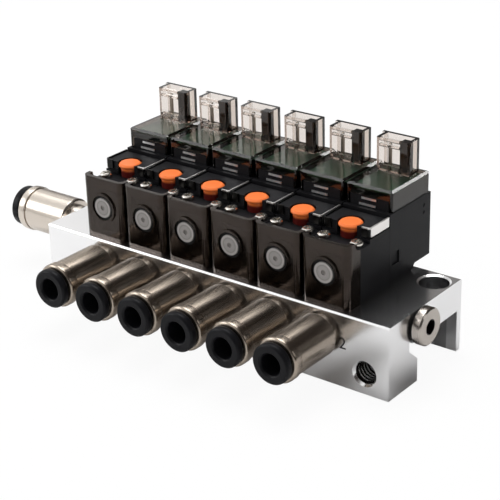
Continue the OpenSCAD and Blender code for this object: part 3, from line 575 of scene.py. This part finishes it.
def thread_finish():
    """Bright metal on the crests of a thread, and painted shade, nearly black, in its grooves."""
    material, tree, skin = metal_skin("cut_thread", EVERY_WAY, (0.12, 0.2), 0.02)
    crest = add_node(tree, "ShaderNodeAttribute", attribute_name="crest")
    # Painted shade: the base colour is nearly black in the grooves.
    color = ramp(tree, crest.outputs["Fac"], [(0.45, (0.02, 0.02, 0.02)), (0.75, (0.95, 0.95, 0.96))])
    tree.links.new(color, skin.inputs["Base Color"])
    return material


plug_metal = plug_finish()
cut_thread = thread_finish()
print("plug and thread nodes:", [len(metal.node_tree.nodes) for metal in (plug_metal, cut_thread)])

# %% [markdown]
# The clips are bright sheet metal, but only a thin rim of the short front legs and the side
# towards the block's plugged end catch the light, and the rest looks black: that black is painted shade
# in the base colour. A part of a node is picked out by its place in the frame, with planes taken from the
# node's own box.

# %% Clip finish
LEG_DEPTH = 0.35 * MM
RIM_HEIGHT = 0.3 * MM


def clip_finish():
    """Bright sheet metal, with painted shade below the legs' rim and on the side towards the supply fitting.
    """
    material, tree, skin, _ = new_material("clip_metal")
    skin.inputs["Metallic"].default_value = 1.0
    skin.inputs["Roughness"].default_value = 0.32
    low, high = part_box("override_clips")
    x, y, z = axes_of(tree)
    front = math_node(tree, "LESS_THAN", y, low[1] + LEG_DEPTH)
    leg = all_of(tree, front, math_node(tree, "LESS_THAN", z, high[2] - RIM_HEIGHT))
    left = math_node(tree, "LESS_THAN", across_valve(tree, x), 0.0)
    # Painted shade: the legs below their rim and the side towards the supply fitting are black.
    painted_dark = math_node(tree, "MAXIMUM", leg, left)
    color = ramp(tree, painted_dark, [(0.0, (0.88, 0.86, 0.84)), (1.0, (0.02, 0.02, 0.02))])
    tree.links.new(color, skin.inputs["Base Color"])
    return material


clip_metal = clip_finish()
print("clip finish nodes:", len(clip_metal.node_tree.nodes))

# %% [markdown]
# Mouldings. The black bodies are a dull glass-filled plastic with a fine pitted skin, and the
# release rings are a little smoother. Their sheen is kept low, so that they stay black
# where they mirror the pale floor.

# %% Plastic and rubber finishes
def moulding(name, low, high, rough, grain=5000.0, depth=0.15, patches=200.0, shine=0.5):
    """Moulded plastic or rubber between two close colours, with a fine pitted skin."""
    material, tree, skin, _ = new_material(name)
    skin.inputs["Specular IOR Level"].default_value = shine
    pits = use_group(tree, PITTED, {"Grain": grain, "Depth": depth})
    tree.links.new(mottled(tree, low, high, patches), skin.inputs["Base Color"])
    tree.links.new(span(tree, pits.outputs["Mask"], *rough), skin.inputs["Roughness"])
    tree.links.new(pits.outputs["Normal"], skin.inputs["Normal"])
    return material


body_black = moulding("body_black", (0.006, 0.006, 0.007), (0.012, 0.012, 0.014), (0.38, 0.52), shine=0.12)
ring_black = moulding(
    "ring_black", (0.004, 0.004, 0.005), (0.008, 0.008, 0.01), (0.3, 0.42),
    grain=4000.0, depth=0.08, shine=0.12,
)
rubber_black = moulding("rubber_black", (0.006, 0.006, 0.006), (0.012, 0.012, 0.012), (0.6, 0.75), shine=0.2)
bobbin_cream = moulding("bobbin_cream", (0.66, 0.62, 0.54), (0.75, 0.72, 0.64), (0.4, 0.5))
print("mouldings:", [plastic.name for plastic in (body_black, ring_black, rubber_black, bobbin_cream)])

# %% [markdown]
# The white disc in each cap is drawn in rings: a grey middle with painted shade at its centre, a
# darker groove that is painted shade, and a pale rim that is a painted highlight. The distance
# from the disc's axis is worked out from X across the valve and Z, and a ramp over it draws the rings.

# %% Seat disc finish
DISC_LOW, DISC_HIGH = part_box("seat_plugs")
DISC_MIDDLE = (DISC_LOW[2] + DISC_HIGH[2]) / 2
DISC_RADIUS = (DISC_HIGH[2] - DISC_LOW[2]) / 2


def disc_finish():
    """Rings of grey by the share of the radius, sqrt(across^2 + height^2) / radius."""
    material, tree, skin, _ = new_material("seat_disc")
    skin.inputs["Roughness"].default_value = 0.45
    skin.inputs["Specular IOR Level"].default_value = 0.3
    x, _, z = axes_of(tree)
    distance = length_of(tree, across_valve(tree, x), math_node(tree, "SUBTRACT", z, DISC_MIDDLE))
    # Painted shade at the centre and in the groove, and a painted highlight on the rim.
    color = ramp(tree, math_node(tree, "MULTIPLY", distance, 1 / DISC_RADIUS), [
        (0.0, (0.14, 0.13, 0.12)),
        (0.3, (0.3, 0.28, 0.27)),
        (0.62, (0.27, 0.26, 0.25)),
        (0.7, (0.2, 0.19, 0.18)),
        (0.78, (0.33, 0.31, 0.3)),
        (0.92, (0.38, 0.36, 0.35)),
        (1.0, (0.25, 0.24, 0.23)),
    ])
    tree.links.new(color, skin.inputs["Base Color"])
    return material


seat_disc = disc_finish()
print("seat disc's radius in mm:", round(DISC_RADIUS / MM, 2))

# %% [markdown]
# An override button is one orange moulding, but only its head stands in the light: deep in the
# black well its neck looks dark red. The base colour falls from orange to a deep red between two
# heights of the frame: painted shade on the neck, which keeps that depth from every side.

# %% Button finish
HEAD_HEIGHT = 1.1 * MM
NECK_SHADE_FADE = 0.5 * MM


def button_finish():
    """Orange on the head, and painted shade, dark red, a little below it, with a soft crossing."""
    material, tree, skin, _ = new_material("button_orange")
    skin.inputs["Specular IOR Level"].default_value = 0.3
    skin.inputs["Roughness"].default_value = 0.35
    head_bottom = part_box("button_1")[1][2] - HEAD_HEIGHT
    # Painted shade: the base colour turns dark red below the head.
    neck_shade = {"From Min": head_bottom - NECK_SHADE_FADE, "From Max": head_bottom}
    rise = add_node(tree, "ShaderNodeMapRange", neck_shade)
    tree.links.new(axes_of(tree)[2], rise.inputs["Value"])
    color = ramp(tree, rise.outputs["Result"], [(0.0, (0.1, 0.008, 0.006)), (1.0, (0.9, 0.2, 0.045))])
    tree.links.new(color, skin.inputs["Base Color"])
    pits = use_group(tree, PITTED, {"Grain": 2500.0, "Depth": 0.2})
    tree.links.new(pits.outputs["Normal"], skin.inputs["Normal"])
    return material


button_orange = button_finish()
print("button finish nodes:", len(button_orange.node_tree.nodes))

# %% [markdown]
# Clear and smoke plastic. The solids have real walls, so a glass-like shader bends light as the
# real pieces do, and the plastic inside takes some of it away: what passes falls with the length
# of the path, so a wall stays pale and a solid rib goes dark. Rays from lamps would stop
# at a glass surface, so for those a tinted clear shader takes over.

# %% Clear finishes
PLASTIC_IOR = 1.49
ROUGH_SPREAD = 1.8


def clear_moulding(name, tint, kept, density, lamp_tint, rough, shine, reflected=(1.0, 1.0, 1.0)):
    """See-through plastic: a transmitting shader, a clear one for rays from lamps, and inside the
    solid an absorbing one. After a path in metres, exp(-density * (1 - kept) * path) is left."""
    material, tree, skin, out = new_material(name)
    skin.inputs["Base Color"].default_value = (*tint, 1)
    skin.inputs["Specular IOR Level"].default_value = shine
    skin.inputs["Specular Tint"].default_value = (*reflected, 1)
    skin.inputs["Transmission Weight"].default_value = 1.0
    skin.inputs["IOR"].default_value = PLASTIC_IOR
    pits = use_group(tree, PITTED, {"Grain": 2500.0, "Depth": 0.02})
    tree.links.new(span(tree, pits.outputs["Mask"], rough, ROUGH_SPREAD * rough), skin.inputs["Roughness"])
    tree.links.new(pits.outputs["Normal"], skin.inputs["Normal"])
    clear = add_node(tree, "ShaderNodeBsdfTransparent", {"Color": (*lamp_tint, 1)})
    path = add_node(tree, "ShaderNodeLightPath")
    surface = mix_shaders(tree, path.outputs["Is Shadow Ray"], skin.outputs[0], clear.outputs[0])
    tree.links.new(surface, out.inputs["Surface"])
    inside = add_node(tree, "ShaderNodeVolumeAbsorption", {"Color": (*kept, 1), "Density": density})
    tree.links.new(inside.outputs[0], out.inputs["Volume"])
    return material, tree, skin


smoke_cap, _, _ = clear_moulding(
    "smoke_cap", (0.2, 0.13, 0.1), (0.35, 0.22, 0.15), 3000.0, (0.4, 0.34, 0.3),
    rough=0.1, shine=0.05, reflected=(1.0, 0.8, 0.68),
)
print("smoke cap nodes:", len(smoke_cap.node_tree.nodes))

# %% [markdown]
# A cover is one clear moulding of three tones: the socket's walls are nearly clear, its guide
# pillar is the darkest part, and the broad lower part is smoke, with the dark board under it.
# The pillar is picked out by a box across the valve and up from the cover, and the
# lower part by a height.

# %% Cover finish
COVER_LOW, COVER_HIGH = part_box("cover_1")
PILLAR_ACROSS = (1.25 * MM, 3.3 * MM)
PILLAR_BEHIND = (7.8 * MM, 9.7 * MM)
PILLAR_FOOT = 6.2 * MM
SOCKET_FOOT = 7.0 * MM
WALL_CLEAR = (0.97, 0.94, 0.91)
LOWER_SMOKE = (0.14, 0.12, 0.1)
PILLAR_DARK = (0.03, 0.02, 0.013)


def cover_finish():
    """Clear plastic whose tint follows the place: 0 on the socket, 0.5 below it, 1 on the pillar."""
    material, tree, skin = clear_moulding(
        "clear_cover", WALL_CLEAR, (0.58, 0.49, 0.43), 550.0, (0.4, 0.37, 0.34),
        rough=0.03, shine=0.14,
    )
    x, y, z = axes_of(tree)
    pillar = all_of(
        tree,
        between(tree, across_valve(tree, x), *PILLAR_ACROSS),
        between(tree, y, *(COVER_LOW[1] + depth for depth in PILLAR_BEHIND)),
        math_node(tree, "GREATER_THAN", z, COVER_HIGH[2] - PILLAR_FOOT),
    )
    lower = math_node(tree, "LESS_THAN", z, COVER_HIGH[2] - SOCKET_FOOT)
    share = math_node(tree, "MAXIMUM", pillar, math_node(tree, "MULTIPLY", lower, 0.5))
    color = ramp(tree, share, [(0.0, WALL_CLEAR), (0.5, LOWER_SMOKE), (1.0, PILLAR_DARK)])
    tree.links.new(color, skin.inputs["Base Color"])
    return material


clear_cover = cover_finish()
print("cover's height in mm:", round((COVER_HIGH[2] - COVER_LOW[2]) / MM, 2))

# %% [markdown]
# The circuit boards are dark green lacquer over copper, seen through the smoke of the covers. The
# contact metal node holds two kinds of pieces: the two pale strips at the front of each board,
# and the pins up in the sockets, which are dark brown. The height in the frame tells them apart.

# %% Circuit board and contact finishes
board_green = moulding(
    "board_green", (0.008, 0.05, 0.03), (0.014, 0.075, 0.045), (0.3, 0.4),
    grain=2500.0, depth=0.05, patches=600.0,
)
PIN_FOOT = 4 * MM


def contact_finish():
    """Bright on the strips, and dull brown metal on the pins, PIN_FOOT above the cover's bottom."""
    material, tree, skin, _ = new_material("contacts")
    skin.inputs["Metallic"].default_value = 1.0
    skin.inputs["Roughness"].default_value = 0.3
    above = math_node(tree, "GREATER_THAN", axes_of(tree)[2], COVER_LOW[2] + PIN_FOOT)
    color = ramp(tree, above, [(0.0, (0.95, 0.95, 0.95)), (1.0, (0.2, 0.17, 0.14))])
    tree.links.new(color, skin.inputs["Base Color"])
    return material


contacts = contact_finish()
print("finishes:", len(bpy.data.materials))

# %% [markdown]
# A moulded or turned edge is never knife sharp, and its small round catches the light. The CAD
# meshes are loose triangles, so a Weld modifier joins them first, and a narrow Bevel
# then rounds the edges that are steeper than a limit and leaves curved faces alone. A Weighted
# Normal modifier comes last, so that the broad flat faces keep their own normals.

# %% Dress the CAD pieces
FINISHES = {
    "manifold_block": (extruded, 0.14),
    "supply_fitting": (plated_x, 0.06),
    "supply_release_ring": (ring_black, 0.08),
    "end_plug": (plug_metal, 0.05),
    "seal_rings": (rubber_black, 0.03),
    "valve_gaskets": (rubber_black, 0),
    "valve_screws": (screw_metal, 0.04),
    "seat_plugs": (seat_disc, 0.06),
    "override_clips": (clip_metal, 0.04),
    "coil_housings": (body_black, 0.08),
    "circuit_boards": (board_green, 0),
    "terminals": (contacts, 0.03),
    "bobbins": (bobbin_cream, 0),
    "coil_windings": (copper, 0),
    "fixed_cores": (steel, 0),
    "yokes": (steel, 0),
    "return_springs": (steel, 0),
    "cap": (smoke_cap, 0.1),
    "valve_body": (body_black, 0.08),
    "cover": (clear_cover, 0.08),
    "button": (button_orange, 0.05),
    "armature": (steel, 0),
    "fitting": (shaded_plated_y, 0.06),
    "release_ring": (ring_black, 0.08),
}
BEVEL_LIMIT = math.radians(40)
WELD_GAP = 0.001 * MM
FLAT_WEIGHT = 100


def dress(piece, material, edge):
    """Gives a CAD piece its finish, and rounds its sharp edges by that many millimetres."""
    piece.data.materials.clear()
    piece.data.materials.append(material)
    if edge:
        weld = piece.modifiers.new("join", "WELD")
        weld.merge_threshold = WELD_GAP
        bevel = piece.modifiers.new("edge", "BEVEL")
        bevel.width = edge * MM
        bevel.segments = 2
        bevel.limit_method = "ANGLE"
        bevel.angle_limit = BEVEL_LIMIT
        bevel.harden_normals = True
        flat = piece.modifiers.new("flat", "WEIGHTED_NORMAL")
        flat.mode = "FACE_AREA"
        flat.weight = FLAT_WEIGHT


for name, piece in nodes.items():
    kind = name if name in FINISHES else name.rsplit("_", 1)[0]
    dress(piece, *FINISHES[kind])
    if kind == "cover":
        edge_lit.objects.link(piece)
print("dressed pieces:", len(nodes))

# %% [markdown]
# The tapped ports are plain bores in the frame. On the real block each has a fine thread. A
# thread is a surface in two parameters, the angle and the depth: the radius falls and
# rises once per pitch, and the angle shifts the wave along by one pitch a turn.

# %% Threads in the open ports
THREAD_PITCH = 0.8 * MM
THREAD_DEPTH = 0.24 * MM
THREAD_WALL = 0.02 * MM
THREAD_LENGTH = 4.6 * MM


def thread_skin(radius, length, steps_round=72, steps_per_pitch=8):
    """Points, faces and crest values of a thread in a hole along Z. Radius = hole less the depth
    times a triangle wave of (z / pitch + angle / turn); a plain tube just inside the hole closes
    it behind. The crest value is that wave, and 0 on the tube."""
    rows = int(length / THREAD_PITCH * steps_per_pitch) + 1
    angle = np.arange(steps_round) / steps_round * 2 * np.pi
    z = np.linspace(0, length, rows)
    wave = np.abs(((z[:, None] / THREAD_PITCH + angle[None] / (2 * np.pi)) % 1) * 2 - 1)
    fade = np.clip(np.minimum(z, length - z) / (0.5 * THREAD_PITCH), 0, 1)[:, None]
    inner = radius - THREAD_WALL - THREAD_DEPTH * wave * fade
    outer = np.full_like(inner, radius - THREAD_WALL / 2)
    shells = []
    for r in (inner, outer[::-1]):
        depth = z if r is inner else z[::-1]
        along = np.broadcast_to(depth[:, None], r.shape)
        shells.append(np.stack([r * np.cos(angle), r * np.sin(angle), along], -1))
    points = np.concatenate(shells).reshape(-1, 3)
    crest = np.concatenate([wave * fade, np.zeros_like(wave)]).ravel()
    ring_count = 2 * rows
    i, j = np.meshgrid(np.arange(ring_count), np.arange(steps_round), indexing="ij")
    i_next, j_next = (i + 1) % ring_count, (j + 1) % steps_round
    corner_rows = (i, i_next, i_next, i)
    corner_columns = (j, j, j_next, j_next)
    faces = np.stack([row * steps_round + column for row, column in zip(corner_rows, corner_columns)], -1)
    return points, faces.reshape(-1, 4), crest


def threaded_port(name, mount):
    """Puts a thread in the port that a mount of the record states, from its mouth inwards."""
    points, faces, crest = thread_skin(mount["dims"]["r_mm"] * MM, THREAD_LENGTH)
    turn = Vector(mount["axis"]).to_track_quat("-Z", "Y").to_matrix()
    place = points @ np.array(turn).T + np.array(mount["pos_m"])
    piece = mesh_piece(name, place, faces, cut_thread)
    piece.data.polygons.foreach_set("use_smooth", [True] * len(piece.data.polygons))
    piece.data.attributes.new("crest", "FLOAT", "POINT").data.foreach_set("value", crest)
    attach(piece, "bank")
    return piece


for port in ("exhaust_port_front", "exhaust_port_left"):
    thread = threaded_port(port.replace("port", "thread"), mounts[port])
    print(thread.name, "faces:", len(thread.data.polygons))

# %% [markdown]
# A plain numeral stands beside the front port. It is printed in black, so it is a thin text
# body laid on the tube face, turned into a mesh, with its place written into the mesh.

# %% Port number
NUMBER_HEIGHT = 2.4 * MM
NUMBER_PLACE = (31.0 * MM, 8.6 * MM)
SIZE_PER_HEIGHT = 1.35
INK_DEPTH = 0.01 * MM
ink_black = moulding("ink_black", (0.01, 0.01, 0.01), (0.02, 0.02, 0.02), (0.5, 0.6))


def port_number(digit):
    """The digit as a thin mesh on the tube face, centred on its place."""
    words = bpy.data.curves.new("port_number", "FONT")
    words.body = digit
    words.align_x = "CENTER"
    words.align_y = "CENTER"
    words.size = NUMBER_HEIGHT * SIZE_PER_HEIGHT
    words.extrude = INK_DEPTH
    holder = bpy.data.objects.new("number_curve", words)
    bpy.context.scene.collection.objects.link(holder)
    bpy.context.view_layer.update()
    graph = bpy.context.evaluated_depsgraph_get()
    mesh = bpy.data.meshes.new_from_object(holder.evaluated_get(graph))
    bpy.data.objects.remove(holder)
    face_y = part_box("manifold_block")[0][1]
    upright = Matrix.Rotation(math.pi / 2, 4, "X")
    mesh.transform(Matrix.Translation((NUMBER_PLACE[0], face_y, NUMBER_PLACE[1])) @ upright)
    mesh.materials.append(ink_black)
    piece = bpy.data.objects.new("port_number", mesh)
    bpy.context.scene.collection.objects.link(piece)
    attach(piece, "bank")
    return piece


print("number faces:", len(port_number("2").data.polygons))
